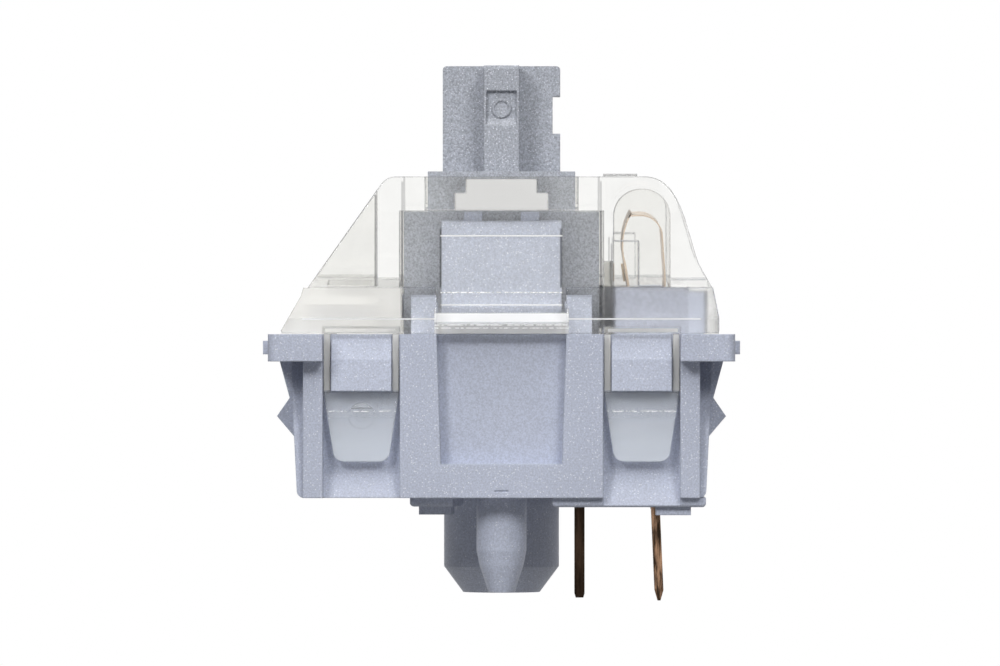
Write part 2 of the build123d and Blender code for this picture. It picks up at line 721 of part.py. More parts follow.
def loop_bevels():
    """The bevels under the band's lower edge, one over each leg loop."""
    half = face_x
    outline = polygon((half - LOOP_BEVEL, cover_z), (half, cover_z + LOOP_BEVEL), (half, cover_z))
    bevels = [along_y(outline, low, high) for low, high in leg_pockets()]
    return both_faces(bevels[0] + bevels[1])


def leg_loop(low, high, gate_radius):
    """One loop: two thin strips beside the catch and a tongue that hooks under it."""
    inner = pocket_x + LOOP_BACK_GAP
    outer = inner + LOOP_THICKNESS
    tongue_z = catch_z - LOOP_GAP
    low_z = catch_z - TONGUE_LENGTH
    left = low + LOOP_GAP
    right = high - LOOP_GAP
    loop = block(inner, outer, left, left + LOOP_STRIP, tongue_z, cover_z)
    loop += block(inner, outer, right - LOOP_STRIP, right, tongue_z, cover_z)
    profile = polygon(
        (inner, tongue_z),
        (outer - TONGUE_BEND_DEPTH, tongue_z),
        (outer, tongue_z - TONGUE_BEND),
        (outer, low_z),
        (inner, low_z),
    )
    front = polygon(
        (left, tongue_z),
        (left + LOOP_STRIP + TONGUE_TAPER, low_z),
        (right - LOOP_STRIP - TONGUE_TAPER, low_z),
        (right, tongue_z),
    )
    tongue = along_x(front, inner, outer)
    tongue = fillet(tongue.edges().filter_by(Axis.X).group_by(Axis.Z)[0], TONGUE_RADIUS)
    tongue = tongue & along_y(profile, low, high)
    gate_z = tongue_z - TONGUE_BEND - GATE_BELOW_BEND
    at_gate = Pos(outer, (low + high) / 2, gate_z) * Rot(0, 90, 0)
    gate = at_gate * Cylinder(gate_radius, GATE_RISE)
    gate += at_gate * Cylinder(gate_radius * GATE_CORE_SHARE, GATE_RISE * 2)
    return loop + tongue + gate


def cover_ribs():
    """Clear ribs inside the contact room, one on each side of the leaf."""
    low_x = room_x - COVER_RIB_THICKNESS
    rib = block(
        low_x,
        room_x,
        room_south_y,
        room_south_y + COVER_RIB_WIDTH,
        shelf_z,
        shelf_z + COVER_RIB_RISE,
    )
    return both_faces(rib)


def top_housing():
    """The clear cover with its four leg loops."""
    cover = cover_band() + cover_upper()
    cover -= cover_hollows()
    cover -= face_notches() + loop_bevels()
    cover += cover_ribs()
    (south_low, south_high), (north_low, north_high) = leg_pockets()
    cover += both_faces(leg_loop(south_low, south_high, SOUTH_GATE_RADIUS))
    cover += both_faces(leg_loop(north_low, north_high, NORTH_GATE_RADIUS))
    pad_low = room_south_y - PARTITION
    cover += block(
        -NAME_PAD_DEPTH / 2,
        NAME_PAD_DEPTH / 2,
        pad_low,
        pad_low + NAME_PAD_WIDTH,
        roof_z,
        roof_z + NAME_PAD_HEIGHT,
    )
    return cover


def cross():
    """The cross that a keycap pushes onto, with its notch and end panel."""
    half = CROSS_LENGTH / 2
    along = slab(half, CROSS_ARM_X / 2, neck_z, cross_z)
    along = fillet(along.edges().filter_by(Axis.Y).group_by(Axis.Z)[-1], CROSS_CORNER_RADIUS)
    across = slab(CROSS_ARM_Y / 2, half, neck_z, cross_z)
    across = fillet(across.edges().filter_by(Axis.X).group_by(Axis.Z)[-1], CROSS_CORNER_RADIUS)
    notch_z = cross_z - NOTCH_DROP
    across -= block(-half, half, half - NOTCH_DEPTH, half, notch_z - NOTCH_HEIGHT, notch_z)
    dent_z = cross_z - DENT_DROP
    dent = polygon(
        (half - DENT_DEPTH, dent_z),
        (half - DENT_DEPTH, dent_z - DENT_HEIGHT + DENT_RAMP),
        (half, dent_z - DENT_HEIGHT),
        (half, dent_z),
    )
    along -= along_y(dent, -DENT_WIDTH / 2, DENT_WIDTH / 2)
    gate_z = cross_z - GATE_DROP
    at_gate = Pos(half - DENT_DEPTH, 0, gate_z) * Rot(0, 90, 0)
    dish_x = half - DENT_DEPTH + GATE_HEIGHT - GATE_DISH_DEPTH
    along += at_gate * Cylinder(GATE_RADIUS, GATE_HEIGHT * 2)
    dish = Pos(dish_x + GATE_HEIGHT, 0, gate_z) * Rot(0, 90, 0)
    along -= dish * Cylinder(GATE_DISH_RADIUS, GATE_HEIGHT * 2)
    return along + across


def leaf_middle(z):
    """The Y place of the middle of the leaf's free limb at one height, below its knee."""
    return leaf_free_y - leaf_slope * (z - leaf_free_z)


def cam_leg(x):
    """One leg that holds the leaf open, sloped at its lower end."""
    tip = leaf_middle(cam_top_z) - LEAF_THICKNESS / 2 - CAM_GAP
    low_z = cam_top_z - CAM_HEIGHT
    outline = polygon(
        (0, cam_top_z), (tip, cam_top_z), (tip, low_z + CAM_SLOPE), (tip - CAM_SLOPE, low_z), (0, low_z)
    )
    half = CAM_WIDTH / 2
    return along_x(outline, x - half, x + half)


def stem():
    """The sliding stem: cross, neck, skirt with its well, rails, pole and cam legs."""
    body = slab(stem_x, stem_y, stem_z, shoulder_z)
    for x in (-CAM_SPREAD / 2, CAM_SPREAD / 2):
        body += cam_leg(x)
    body -= upright(WELL_RADIUS, stem_z, well_z)
    body += slab(stem_x, neck_y, shoulder_z, neck_z)
    body += both_faces(block(stem_x, rail_x, -RAIL_WIDTH / 2, RAIL_WIDTH / 2, stem_z, well_z))
    body += upright(POLE_RADIUS, pole_z, well_z)
    return body + cross()


def return_spring():
    """The coil spring, from the housing's floor to the ceiling of the stem's well."""
    wire_radius = SPRING_WIRE / 2
    low = floor_z + wire_radius
    height = well_z - wire_radius - low
    path = Pos(0, 0, low) * Helix(height / SPRING_COILS, height, SPRING_RADIUS)
    start = path @ 0
    section = Plane(origin=start, z_dir=path % 0) * Circle(wire_radius)
    return sweep(section, path=path, is_frenet=True)


def pin_blade(y_top, lean, thickness, length, point, share):
    """The side view of a contact pin, straight or leaning, narrowed at its tip."""
    half = thickness / 2
    tip = half * share
    y_low = y_top + lean
    return polygon(
        (y_top - half, floor_z),
        (y_low - half, point - length),
        (y_low - tip, -length),
        (y_low + tip, -length),
        (y_low + half, point - length),
        (y_top + half, floor_z),
    )


def fixed_terminal():
    """The fixed contact: an upright blade, a foot along the floor and one pin."""
    half = FIXED_BLADE_WIDTH / 2
    pin_low = FIXED_PIN_X - pin_half
    pin_high = FIXED_PIN_X + pin_half
    foot_top = floor_z + FIXED_FOOT_HEIGHT
    blade = block(-half, half, blade_y, blade_north_y, floor_z, shelf_z + FIXED_BLADE_RISE)
    blade += block(pin_low, half, blade_y, blade_north_y, floor_z, foot_top)
    jog_low = FIXED_PIN_Y - FIXED_PIN_THICKNESS / 2
    jog_top = floor_z + BLADE_THICKNESS
    blade += block(pin_low, pin_high, jog_low, blade_north_y, floor_z, jog_top)
    pin = pin_blade(
        FIXED_PIN_Y, 0, FIXED_PIN_THICKNESS, FIXED_PIN_LENGTH, PIN_CORNER, PIN_BLUNTNESS
    )
    return blade + along_x(pin, pin_low, pin_high)


def moving_terminal():
    """The blade that carries the leaf, with its slightly leaning pin."""
    pin_low = MOVING_PIN_X - pin_half
    pin_high = MOVING_PIN_X + pin_half
    back_y = moving_blade_y + BLADE_THICKNESS
    blade = block(MOVING_BLADE_START, pin_high, moving_blade_y, back_y, floor_z, moving_blade_z)
    jog_low = MOVING_PIN_Y - BLADE_THICKNESS / 2
    jog_top = floor_z + BLADE_THICKNESS
    blade += block(pin_low, pin_high, jog_low, back_y, floor_z, jog_top)
    pin = pin_blade(
        MOVING_PIN_Y, MOVING_PIN_LEAN, BLADE_THICKNESS, MOVING_PIN_LENGTH, PIN_POINT, PIN_SHARPNESS
    )
    return blade + along_x(pin, pin_low, pin_high)


def contact_leaf():
    """The thin bent strip, from its free end over the sharp fold to its weld on the blade."""
    arc_y = leaf_arc_y + LEAF_THICKNESS / 2
    fold_z = shelf_z + LEAF_FOLD_RISE
    corners = [
        (0, leaf_free_y, leaf_free_z),
        (0, leaf_knee_y, leaf_knee_z),
        (0, leaf_fold_y, fold_z),
        (0, arc_y - LEAF_BACK_LEAN, fold_z - LEAF_FOLD_FALL),
        (0, arc_y, moving_blade_z + LEAF_FREE_RISE),
        (0, arc_y, moving_blade_z - LEAF_WELD),
    ]
    radii = [LEAF_KNEE_RADIUS, LEAF_FOLD_RADIUS, LEAF_ARC_RADIUS, LEAF_KNEE_RADIUS]
    line = FilletPolyline(*corners, radius=radii)
    start = Plane(origin=line @ 0, x_dir=(1, 0, 0), z_dir=line % 0)
    return sweep(start * Rectangle(LEAF_WIDTH, LEAF_THICKNESS), path=line)


def contact_bar(y, lean=0):
    """A small welded bar of contact metal, leaning like the strip that carries it."""
    bar = Box(CONTACT_SIZE, CONTACT_THICKNESS, CONTACT_SIZE)
    return Pos(0, y, shelf_z + CONTACT_RISE) * Rot(lean, 0, 0) * bar


def fixed_contact_point():
    """The bar on the fixed blade."""
    return contact_bar(blade_north_y + CONTACT_THICKNESS / 2)


def moving_contact_point():
    """The bar on the leaf's free limb, facing the fixed one."""
    leaf_y = leaf_middle(shelf_z + CONTACT_RISE)
    offset = (LEAF_THICKNESS + CONTACT_THICKNESS) / 2
    return contact_bar(leaf_y - offset, degrees(atan(leaf_slope)))


os.makedirs("parts", exist_ok=True)
nodes = {
    "bottom_housing": bottom_housing(),
    "top_housing": top_housing(),
    "stem": stem(),
    "return_spring": return_spring(),
    "fixed_terminal": fixed_terminal(),
    "fixed_contact_point": fixed_contact_point(),
    "moving_terminal": moving_terminal(),
    "contact_leaf": contact_leaf(),
    "moving_contact_point": moving_contact_point(),
}
for name, shape in nodes.items():
    export_step(shape, f"parts/{name}.step")
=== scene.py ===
# %% [markdown]
# A keyboard switch, dressed for its portrait
#
# The construction already exists as exact solids. This lesson gives each solid the finish of
# the real thing: a sparkly moulded housing, a clear clip-on cover, a darker stem and bronze
# contact pins. Two soft metal pieces, the return spring and the contact leaf, are modelled
# again here, because they change shape when the stem goes down.

# %% Load the frame
import bpy
import math
import numpy as np
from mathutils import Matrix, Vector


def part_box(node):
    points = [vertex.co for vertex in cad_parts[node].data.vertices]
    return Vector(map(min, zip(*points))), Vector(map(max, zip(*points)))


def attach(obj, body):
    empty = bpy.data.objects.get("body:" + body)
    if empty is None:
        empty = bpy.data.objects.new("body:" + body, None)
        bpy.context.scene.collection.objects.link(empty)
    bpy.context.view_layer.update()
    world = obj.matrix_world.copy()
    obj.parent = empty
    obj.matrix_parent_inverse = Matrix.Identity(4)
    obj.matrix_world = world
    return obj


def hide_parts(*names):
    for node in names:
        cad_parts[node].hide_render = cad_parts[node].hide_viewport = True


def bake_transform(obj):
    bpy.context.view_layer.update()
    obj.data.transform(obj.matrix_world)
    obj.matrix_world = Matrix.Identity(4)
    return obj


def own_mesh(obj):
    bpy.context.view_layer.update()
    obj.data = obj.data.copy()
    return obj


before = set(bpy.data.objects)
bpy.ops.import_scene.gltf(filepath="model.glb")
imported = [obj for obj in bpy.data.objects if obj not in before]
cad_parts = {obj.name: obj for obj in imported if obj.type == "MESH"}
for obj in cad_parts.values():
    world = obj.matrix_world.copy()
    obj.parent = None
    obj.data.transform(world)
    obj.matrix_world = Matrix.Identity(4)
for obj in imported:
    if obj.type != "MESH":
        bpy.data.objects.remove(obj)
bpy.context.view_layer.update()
MM = 0.001
print("nodes:", sorted(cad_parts))

# %% [markdown]
# Small helpers for shader trees
#
# A material is a graph of nodes. Writing each one by hand takes many lines, so short helpers
# make a node, set its sockets and link it in one call. A socket's value is either a plain
# number, which is set on the socket, or another node's output, which is linked to it.

# %% Helpers: one node
def add(tree, kind, inputs=None, **settings):
    """Add one shader node, set its properties, then set or link its inputs."""
    node = tree.nodes.new(kind)
    for name, value in settings.items():
        setattr(node, name, value)
    for name, value in (inputs or {}).items():
        if isinstance(value, bpy.types.NodeSocket):
            tree.links.new(value, node.inputs[name])
        else:
            node.inputs[name].default_value = value
    return node


def math_node(tree, operation, first, second=0.0, clamp=False):
    """One arithmetic step, whose result is its first output."""
    inputs = {0: first, 1: second}
    return add(tree, "ShaderNodeMath", inputs, operation=operation, use_clamp=clamp).outputs[0]


def ramp(tree, value, low, high, low_to=0.0, high_to=1.0):
    """Stretch a value between two limits onto two others, with a smooth start and end."""
    inputs = {
        "Value": value, "From Min": low, "From Max": high, "To Min": low_to, "To Max": high_to,
    }
    node = add(tree, "ShaderNodeMapRange", inputs, interpolation_type="SMOOTHSTEP")
    return node.outputs["Result"]


def mix_color(tree, share, first, second):
    """The first colour where the share is 0 and the second where it is 1."""
    node = add(tree, "ShaderNodeMix", {0: share, 6: first, 7: second}, data_type="RGBA")
    return node.outputs[2]


def mix_shaders(tree, share, first, second):
    """The first shader where the share is 0 and the second where it is 1."""
    inputs = {0: share, 1: first.outputs[0], 2: second.outputs[0]}
    return add(tree, "ShaderNodeMixShader", inputs)


def noise(tree, place, scale, detail=2.0, **inputs):
    """A cloudy value about one half, with its cells per metre and its layers of detail."""
    inputs = {"Vector": place, "Scale": scale, "Detail": detail, **inputs}
    return add(tree, "ShaderNodeTexNoise", inputs).outputs["Fac"]


def bumped(tree, strength, depth, height, normal=None):
    """A normal tilted by the slope of a height, which is a share of the depth."""
    inputs = {"Strength": strength, "Distance": depth, "Height": height}
    if normal is not None:
        inputs["Normal"] = normal
    return add(tree, "ShaderNodeBump", inputs).outputs[0]


print("node helpers are ready")

# %% [markdown]
# Masks
#
# Where a finish changes from place to place, a mask says how much of it each point gets, from
# 0 to 1. A soft step on one coordinate cuts the piece in two, a pair of steps gives a slab, the
# product of two masks is what lies in both, and the larger of two is what lies in either.

# %% Helpers: masks
def step_up(tree, value, limit, soft):
    """Zero below a limit and one above it, changing softly from one side to the other."""
    return ramp(tree, value, limit - soft, limit + soft)


def step_down(tree, value, limit, soft):
    """One below a limit and zero above it, changing softly from one side to the other."""
    return ramp(tree, value, limit + soft, limit - soft)


def times(tree, first, *others):
    """The product of several values: the place that all the masks share."""
    for other in others:
        first = math_node(tree, "MULTIPLY", first, other)
    return first


def highest(tree, first, *others):
    """The largest of several values: the place that any of the masks covers."""
    for other in others:
        first = math_node(tree, "MAXIMUM", first, other)
    return first


def between(tree, value, limits, soft):
    """One between two limits and zero outside them, with soft steps."""
    low, high = limits
    return times(tree, step_up(tree, value, low, soft), step_down(tree, value, high, soft))


print("mask helpers are ready")

# %% Helpers: materials
def new_material(name):
    """An empty material with its output node, and its tree."""
    material = bpy.data.materials.new(name)
    material.use_nodes = True
    tree = material.node_tree
    tree.nodes.clear()
    output = tree.nodes.new("ShaderNodeOutputMaterial")
    return material, tree, output


def give(node_name, material):
    """Put one material into every slot of a solid from the frame."""
    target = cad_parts[node_name]
    if not target.material_slots:
        target.data.materials.append(material)
    for slot in target.material_slots:
        slot.material = material
    print(node_name, "wears", material.name)


# %% [markdown]
# The sparkle in the plastic
#
# Housing and stem are moulded from plastic with fine pearl flakes in it. Seen close, the
# surface is a salt-and-pepper grain a few hundredths of a millimetre wide, with single bright
# flakes that catch the light. Both plastics share the effect, so it is a node group: a noise
# gives the grain, and a cell pattern picks a few cells at random and lights their middles.

# %% Group: pearl flakes
GRAIN_ROUGHNESS = 0.7
FLAKE_RIM = 0.60
FLAKE_MIDDLE = 0.10
FLAKE_HEIGHT = 0.4


def pearl_group():
    """Grain and flake masks from object coordinates, with their sizes in cells per metre."""
    group = bpy.data.node_groups.new("pearl flakes", "ShaderNodeTree")
    face = group.interface
    face.new_socket("Vector", in_out="INPUT", socket_type="NodeSocketVector")
    for name in ("Grain Scale", "Flake Scale", "Flake Share"):
        face.new_socket(name, in_out="INPUT", socket_type="NodeSocketFloat")
    for name in ("Grain", "Flakes", "Height"):
        face.new_socket(name, in_out="OUTPUT", socket_type="NodeSocketFloat")
    enter = group.nodes.new("NodeGroupInput")
    leave = group.nodes.new("NodeGroupOutput")
    vector = enter.outputs["Vector"]
    grain = noise(group, vector, enter.outputs["Grain Scale"], Roughness=GRAIN_ROUGHNESS)
    cells = add(
        group, "ShaderNodeTexVoronoi", {"Vector": vector, "Scale": enter.outputs["Flake Scale"]}
    )
    luck = add(group, "ShaderNodeSeparateColor", {"Color": cells.outputs["Color"]})
    chosen = math_node(group, "LESS_THAN", luck.outputs[0], enter.outputs["Flake Share"])
    middle = ramp(group, cells.outputs["Distance"], FLAKE_RIM, FLAKE_MIDDLE)
    flakes = times(group, chosen, times(group, middle, luck.outputs[1]))
    height = math_node(group, "ADD", grain, times(group, flakes, FLAKE_HEIGHT))
    group.links.new(grain, leave.inputs["Grain"])
    group.links.new(flakes, leave.inputs["Flakes"])
    group.links.new(height, leave.inputs["Height"])
    return group


PEARL = pearl_group()
print("group:", PEARL.name)

# %% [markdown]
# The two moulded plastics
#
# Each plastic gets a base colour, the shared grain and flakes over it, a slow change of tone
# across the moulding, and a faint bump of the same grain. A Bevel node softens the razor-sharp
# edges of the solids by bending the shading normal there, as a real mould rounds them.

# %% Materials: housing and stem plastic
GRAIN_PER_METRE = 16000.0
FLAKES_PER_METRE = 19000.0
DRIFT_PER_METRE = 260.0
# Here and below, four numbers for a ramp are its two limits and the two values they become.
DRIFT_TONES = (0.3, 0.7, 0.96, 1.04)
GRAIN_FROM = (0.25, 0.75)
GRAIN_BUMP = 0.25
GRAIN_DEPTH = 0.01 * MM
FLAKE_GLOSS = 0.5
EDGE_RADIUS = 0.07 * MM
EDGE_SAMPLES = 4
PLASTIC_IOR = 1.46
HOUSING_COLOR = (0.50, 0.535, 0.645, 1.0)
STEM_COLOR = (0.40, 0.42, 0.47, 1.0)
FLAKE_COLOR = (0.93, 0.95, 1.0, 1.0)


def moulded_plastic(name, color, flake_share, contrast, roughness):
    """A matte plastic with pearl flakes, a slow drift of tone and softened edges.

    Its colour is the base colour times the drift times the grain, with the flakes over it."""
    material, tree, output = new_material(name)
    place = add(tree, "ShaderNodeTexCoord").outputs["Object"]
    sizes = {"Grain Scale": GRAIN_PER_METRE, "Flake Scale": FLAKES_PER_METRE}
    inputs = {"Vector": place, "Flake Share": flake_share, **sizes}
    pearl = add(tree, "ShaderNodeGroup", inputs, node_tree=PEARL)
    flakes = pearl.outputs["Flakes"]
    tone = ramp(tree, noise(tree, place, DRIFT_PER_METRE), *DRIFT_TONES)
    grain = ramp(tree, pearl.outputs["Grain"], *GRAIN_FROM, 1.0 - contrast, 1.0 + contrast)
    inputs = {0: color[:3], "Scale": times(tree, tone, grain)}
    scaled = add(tree, "ShaderNodeVectorMath", inputs, operation="SCALE")
    base = mix_color(tree, flakes, scaled.outputs[0], FLAKE_COLOR)
    soft = ramp(tree, flakes, 0.0, 1.0, roughness, roughness * FLAKE_GLOSS)
    edge = add(tree, "ShaderNodeBevel", {"Radius": EDGE_RADIUS}, samples=EDGE_SAMPLES)
    normal = bumped(tree, GRAIN_BUMP, GRAIN_DEPTH, pearl.outputs["Height"], edge.outputs[0])
    inputs = {"Base Color": base, "Roughness": soft, "IOR": PLASTIC_IOR, "Normal": normal}
    shader = add(tree, "ShaderNodeBsdfPrincipled", inputs)
    tree.links.new(shader.outputs[0], output.inputs["Surface"])
    return material


housing_plastic = moulded_plastic(
    "housing plastic", HOUSING_COLOR, flake_share=0.13, contrast=0.16, roughness=0.5
)
stem_plastic = moulded_plastic(
    "stem plastic", STEM_COLOR, flake_share=0.22, contrast=0.34, roughness=0.45
)
give("bottom_housing", housing_plastic)
give("stem", stem_plastic)

# %% [markdown]
# The clear cover
#
# The cover is clear polycarbonate. The solid has its real walls, so a transmission shader at
# the plastic's own refractive index draws some dark edge lines and bright steps by itself; more
# are painted in its colour, as painted shade along edges and painted highlights on fillets.
# The real moulding also has a rougher band round its foot, fillets that flash white and milky
# snap tongues. They could be cut into the solid, but they are too shallow to change its shape
# and show only by what they do to light, so they are zones of one material. What the zones
# read is worked out once: the height, the distances from the middle and two noises.

# %% Helper: where a point lies on the cover
FINE_STEP = 0.02 * MM
HAIR_STEP = FINE_STEP / 2
SOFT_STEP = 0.06 * MM
BAND_LOW = 6.00 * MM
BAND_TOP = 7.62 * MM
SHELF_HALF = 2.25 * MM
LIMB_LOW = 4.17 * MM
STREAKS_PER_METRE = 1100.0
STREAK_DETAIL = 4.0
MOTTLE_PER_METRE = 7000.0
MOTTLE_DETAIL = 3.0


def cover_spot(tree):
    """Coordinates, noises and the three masks that more than one zone of the cover reads."""
    place = add(tree, "ShaderNodeTexCoord").outputs["Object"]
    parts = add(tree, "ShaderNodeSeparateXYZ", {"Vector": place})
    height = parts.outputs["Z"]
    reach = math_node(tree, "ABSOLUTE", parts.outputs["Y"])
    return {
        "side": parts.outputs["Y"],
        "reach": reach,
        "outward": math_node(tree, "ABSOLUTE", parts.outputs["X"]),
        "height": height,
        "streaks": noise(tree, place, STREAKS_PER_METRE, STREAK_DETAIL),
        "mottle": noise(tree, place, MOTTLE_PER_METRE, MOTTLE_DETAIL),
        "band": between(tree, height, (BAND_LOW, BAND_TOP), SOFT_STEP),
        "middle": step_down(tree, reach, SHELF_HALF, FINE_STEP),
        "tongue": step_down(tree, height, LIMB_LOW, SOFT_STEP),
    }


print("foot band, mm:", round(BAND_LOW / MM, 2), "to", round(BAND_TOP / MM, 2))

# %% [markdown]
# The cover's tint
#
# Thick clear plastic is never quite white: it is a little warm, with faint cloudy streaks. One
# end of the foot band is ground, and shows a coarse pale mottle. Edges get painted shade: a
# rounded edge bends the view away to something darker, and that dark is painted into the tint.
# A Bevel node gives the rounded normal, and where that leaves the flat one the tint goes dark.
# Six upright creases, where walls of the moulding meet, are listed and get painted shade too.

# %% Helper: tint of the clear plastic
COVER_TINT = (0.945, 0.943, 0.926, 1.0)
COVER_HAZE = (0.905, 0.903, 0.885, 1.0)
COVER_GROUND = (0.74, 0.73, 0.72, 1.0)
# Painted shade: the dark tint that edges of the clear plastic are painted with.
COVER_EDGE_SHADE = (0.20, 0.20, 0.21, 1.0)
# Painted shade for the upright creases where walls of the moulding meet.
COVER_CREASE_SHADE = (0.42, 0.42, 0.42, 1.0)
HAZE_FROM = (0.3, 0.8)
GROUND_FROM = (0.35, 0.65, 0.35, 1.0)
CLEAR_HALF = 3.35 * MM
GROUND_END = 6.25 * MM
# Painted edge shade: the flatness where it starts and is full, and the reach of the corners.
EDGE_SHADE_BEND = (0.985, 0.80)
CORNER_SHADE_BEND = (0.999, 0.94)
CORNER_SHADE_REACH = (3.0 * MM, 4.4 * MM)
# One row for each line of painted crease shade: where it starts and ends across the cover, and
# its top, in mm.
CREASE_SHADE_LINES = [
    (-4.27, -4.20, 10.75), (-3.37, -3.30, 11.20), (-2.08, -2.02, 9.60),
    (1.96, 2.04, 9.60), (3.30, 3.37, 11.20), (3.66, 3.72, 9.10),
]


def cover_tint(tree, spot, flatness):
    """Clear tint, then haze, the ground end of the band, and painted shade on edges and creases.

    The painted edge shade rises as flatness, the dot product of rounded and flat normal, falls."""
    haze = ramp(tree, spot["streaks"], *HAZE_FROM)
    tint = mix_color(tree, haze, COVER_TINT, COVER_HAZE)
    north = between(tree, spot["side"], (CLEAR_HALF, GROUND_END), SOFT_STEP)
    ground = times(tree, ramp(tree, spot["mottle"], *GROUND_FROM), north, spot["band"])
    tint = mix_color(tree, ground, tint, COVER_GROUND)
    above_band = ramp(tree, spot["height"], BAND_TOP, BAND_TOP + SOFT_STEP)
    # Painted shade: edges darken where the rounded normal leaves the flat one, more so by the
    # towers.
    corner = between(tree, spot["reach"], CORNER_SHADE_REACH, SOFT_STEP)
    corner = times(tree, corner, ramp(tree, flatness, *CORNER_SHADE_BEND), above_band)
    painted_edge_shade = highest(tree, ramp(tree, flatness, *EDGE_SHADE_BEND), corner)
    tint = mix_color(tree, painted_edge_shade, tint, COVER_EDGE_SHADE)
    # Painted shade: each crease is a thin upright dark line across every wall it cuts.
    for first, last, top in CREASE_SHADE_LINES:
        crease_shade = between(tree, spot["side"], (first * MM, last * MM), HAIR_STEP)
        tall = between(tree, spot["height"], (BAND_TOP, top * MM), SOFT_STEP)
        tint = mix_color(tree, times(tree, crease_shade, tall), tint, COVER_CREASE_SHADE)
    return tint


print("creases on the cover:", len(CREASE_SHADE_LINES))

# %% [markdown]
# Painted highlights on the fillets
#
# A small fillet on clear plastic mirrors the lamps over its whole length, and so reads as a
# thin white line. Here each is a painted highlight, a share of white diffuse in its place. The
# brightest is the shelf over the front panel, with two uneven lines under it on a paler ground
# of painted light. A ridge line runs round the foot band, three lines cross the face over the
# guide towers, and each snap tongue has a broken line where it bends: all painted highlights.

# %% Helper: mask of the bright fillets
# Painted highlights: their heights and their shares of white.
SHELF = (6.46 * MM, 6.76 * MM)
SHELF_HIGHLIGHT_SHARE = 0.85
UNDER_SHELF_LIGHT_SHARE = 0.30
UPPER_LINE = (6.345 * MM, 6.385 * MM)
LOWER_LINE = (6.245 * MM, 6.285 * MM)
UNEVEN_FROM = (0.38, 0.55, 0.2, 0.9)
DOTS_FROM = (0.42, 0.58)
RIDGE = (6.545 * MM, 6.595 * MM)
RIDGE_END = 6.70 * MM
OUTER_FACE = 6.45 * MM
BEND = (3.455 * MM, 3.495 * MM)
FACE_LINES = [(9.34 * MM, 9.385 * MM), (7.025 * MM, 7.06 * MM)]
FACE_HIGHLIGHT_SHARE = 0.8
BROKEN_LINE = (7.44 * MM, 7.48 * MM)
FACE_LINE_HALF = 2.06 * MM
FACE_START = 4.60 * MM


def shelf_highlights(tree, spot):
    """Painted highlights on the shelf over the front panel, and two uneven lines on painted light
    under it.
    """
    height = spot["height"]
    shelf = times(tree, between(tree, height, SHELF, FINE_STEP), spot["middle"], SHELF_HIGHLIGHT_SHARE)
    upper = between(tree, height, UPPER_LINE, HAIR_STEP)
    lower = between(tree, height, LOWER_LINE, HAIR_STEP)
    uneven = ramp(tree, spot["mottle"], *UNEVEN_FROM)
    lines = times(tree, math_node(tree, "ADD", upper, lower), uneven)
    light_under_shelf = between(tree, height, (BAND_LOW, SHELF[0]), FINE_STEP)
    light_under_shelf = times(tree, light_under_shelf, spot["middle"], highest(tree, lines, UNDER_SHELF_LIGHT_SHARE))
    return highest(tree, shelf, light_under_shelf)


def face_highlight_lines(tree, spot):
    """Painted highlight lines across the face over the guide towers: two whole ones and a broken
    one.
    """
    dots = ramp(tree, spot["mottle"], *DOTS_FROM)
    across = times(tree, between(tree, spot["height"], BROKEN_LINE, HAIR_STEP), dots)
    for limits in FACE_LINES:
        line = between(tree, spot["height"], limits, HAIR_STEP)
        across = highest(tree, across, times(tree, line, FACE_HIGHLIGHT_SHARE))
    face = step_down(tree, spot["reach"], FACE_LINE_HALF, FINE_STEP)
    near = ramp(tree, spot["outward"], FACE_START, FACE_START + SOFT_STEP)
    return times(tree, across, times(tree, face, near))


def painted_fillet_highlights(tree, spot):
    """Painted highlights: the shelf, the face lines, the ridge on the outer faces and the
    tongues' bend line.
    """
    ridge = between(tree, spot["height"], RIDGE, HAIR_STEP)
    inside_ends = ramp(tree, spot["reach"], RIDGE_END, RIDGE_END - SOFT_STEP)
    ridge = times(tree, ridge, inside_ends, step_up(tree, spot["outward"], OUTER_FACE, SOFT_STEP))
    dots = ramp(tree, spot["mottle"], *DOTS_FROM)
    bend = times(tree, between(tree, spot["height"], BEND, HAIR_STEP), dots)
    return highest(tree, shelf_highlights(tree, spot), ridge, bend, face_highlight_lines(tree, spot))


print("lines over the guide towers:", len(FACE_LINES) + 1)

# %% [markdown]
# Painted light and milk
#
# The other end of the foot band and the limbs of the leg loops beside the catches are whitened
# with painted light, which lightens the shade of the parts seen through them. The snap tongues
# are milky, more so towards their tips, and that white is partly painted light too. A white
# diffuse shader stands for all three, mixed into the clear one by this mask.

# %% Helper: mask of the painted light and the milky tongues
BAND_END_LIGHT_SHARE = 0.45
LIMB_LIGHT_SHARE = 0.45
LIMB_TOP = 6.06 * MM
LIMB_INNER = (3.45 * MM, 3.86 * MM)
LIMB_OUTER = (5.74 * MM, 6.16 * MM)
TONGUE_MILKY = 2.20 * MM
MILK_AND_LIGHT_SHARES = (0.14, 0.40)


def painted_light_mask(tree, spot):
    """Painted light on the band's south end and the limbs by the catches; the milky, partly
    painted tongues.
    """
    south = step_down(tree, spot["side"], -CLEAR_HALF, SOFT_STEP)
    band_end = times(tree, south, spot["band"], BAND_END_LIGHT_SHARE)
    inner = between(tree, spot["reach"], LIMB_INNER, FINE_STEP)
    outer = between(tree, spot["reach"], LIMB_OUTER, FINE_STEP)
    tall = between(tree, spot["height"], (LIMB_LOW, LIMB_TOP), FINE_STEP)
    limbs = times(tree, math_node(tree, "ADD", inner, outer), tall, LIMB_LIGHT_SHARE)
    milk = ramp(tree, spot["height"], LIMB_LOW, TONGUE_MILKY, *MILK_AND_LIGHT_SHARES)
    return highest(tree, band_end, limbs, times(tree, spot["tongue"], milk))


# The share of painted light on the band's end.
print("frosted share of the band's end:", BAND_END_LIGHT_SHARE)

